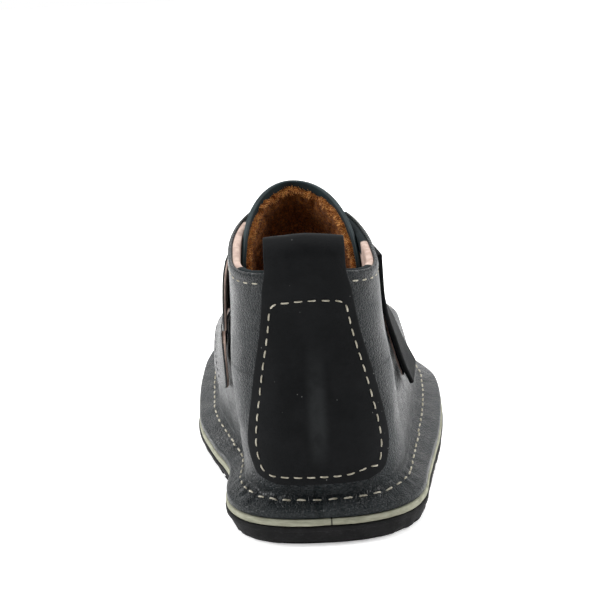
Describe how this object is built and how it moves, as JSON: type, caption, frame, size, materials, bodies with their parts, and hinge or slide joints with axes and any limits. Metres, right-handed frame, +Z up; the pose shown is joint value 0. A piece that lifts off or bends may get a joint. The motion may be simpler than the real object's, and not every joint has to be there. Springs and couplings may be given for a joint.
{
  "type": "child's barefoot ankle boot",
  "caption": "Flat flexible ankle boot with a stitched-down flange, wide toe box, tall lined tongue, hook-and-loop straps and a heel patch that forms a pull loop.",
  "frame": {"origin": "middle of the footprint on the floor", "axes": "+Z up, +Y from the heel to the toe, +X towards the outer side of the foot"},
  "size_m": [0.0876, 0.186, 0.1041],
  "materials": {
    "outsole_rubber": "matte dark rubber sheet, faintly scuffed",
    "midsole_foam": "matte olive-beige foam strip",
    "footbed": "brown brushed footbed",
    "grained_leather": "black pebbled leather, soft grey sheen",
    "tongue_leather": "black leather with a brown fleece inside",
    "matte_leather": "matte black nubuck",
    "strap_leather": "black leather strap, light underside",
    "hook_and_loop": "black hook-and-loop pad"
  },
  "bodies": {
    "root": {"outsole": "outsole_rubber", "midsole": "midsole_foam", "insole": "footbed", "upper": "grained_leather", "tongue": "tongue_leather", "heel_patch": "matte_leather", "strap_panel": "matte_leather", "upper_strap": "strap_leather", "lower_strap": "strap_leather", "upper_pad": "hook_and_loop", "lower_pad": "hook_and_loop"}
  },
  "joints": []
}
